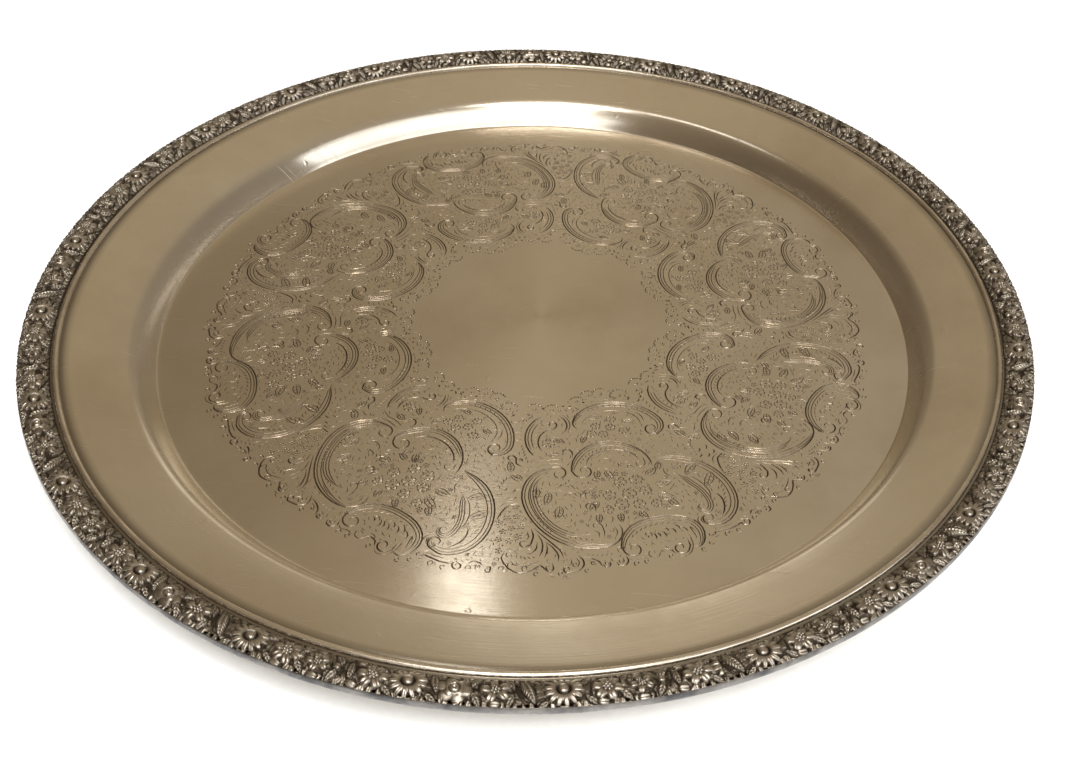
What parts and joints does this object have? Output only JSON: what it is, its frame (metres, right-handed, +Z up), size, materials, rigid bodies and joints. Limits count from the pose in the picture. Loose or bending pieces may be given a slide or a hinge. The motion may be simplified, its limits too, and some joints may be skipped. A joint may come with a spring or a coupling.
{
  "type": "silver salver",
  "caption": "Round flat-bottomed silver salver with an engraved well, a steep wall, a broad plain rim and an applied bead and cast floral border.",
  "frame": {"origin": "centre of the flat underside of the well, on the surface that the salver stands on", "axes": "+Z up along the axis of revolution; +X right and -Y to the front"},
  "size_m": [0.381, 0.381, 0.0216],
  "materials": {
    "plate_silver": "silver plate, polished, warm with age, fine circular and straight wear scratches",
    "wire_silver": "silver plate, bright on the crown, dark in the grooves beside it",
    "border_silver": "cast silver plate, bright high spots, oxidised recesses"
  },
  "bodies": {
    "root": {"tray_body": "plate_silver", "bead_wire": "wire_silver", "edge_wire": "wire_silver", "border_section_01": "border_silver", "border_section_02": "border_silver", "border_section_03": "border_silver", "border_section_04": "border_silver", "border_section_05": "border_silver", "border_section_06": "border_silver", "border_section_07": "border_silver", "border_section_08": "border_silver", "border_section_09": "border_silver", "border_section_10": "border_silver", "border_section_11": "border_silver", "border_section_12": "border_silver", "border_closing_section": "border_silver"}
  },
  "joints": []
}
